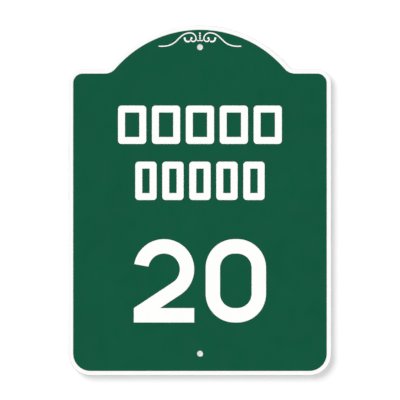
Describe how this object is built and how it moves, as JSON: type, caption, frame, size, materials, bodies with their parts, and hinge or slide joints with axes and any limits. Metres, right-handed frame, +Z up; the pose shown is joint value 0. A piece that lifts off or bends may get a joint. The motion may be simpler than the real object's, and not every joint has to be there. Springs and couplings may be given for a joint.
{
  "type": "road sign panel",
  "caption": "Flat arched-top aluminium road sign panel with a white border, a green field, cut scrollwork, two rows of plain marks in the place of words, and a bolt hole at top and bottom.",
  "frame": {"origin": "midway between the two bolt holes, on the flat back face of the aluminium blank", "axes": "+Z up along the line of the two bolt holes, +X to the reader's right, -Y out of the sign's face"},
  "size_m": [0.4572, 0.002, 0.6096],
  "materials": {
    "blank": "mill finish, satin",
    "white_sheeting": "semi-gloss film",
    "green_film": "semi-gloss film",
    "white_film": "semi-gloss film"
  },
  "bodies": {
    "root": {"sign_blank": "blank", "base_film": "white_sheeting", "field_film": "green_film", "scroll_left": "white_film", "scroll_right": "white_film", "hook_left": "white_film", "hook_right": "white_film", "beads": "white_film", "bead_link": "white_film", "upper_mark_1": "white_film", "upper_mark_2": "white_film", "upper_mark_3": "white_film", "upper_mark_4": "white_film", "upper_mark_5": "white_film", "lower_mark_1": "white_film", "lower_mark_2": "white_film", "lower_mark_3": "white_film", "lower_mark_4": "white_film", "lower_mark_5": "white_film"}
  },
  "joints": []
}
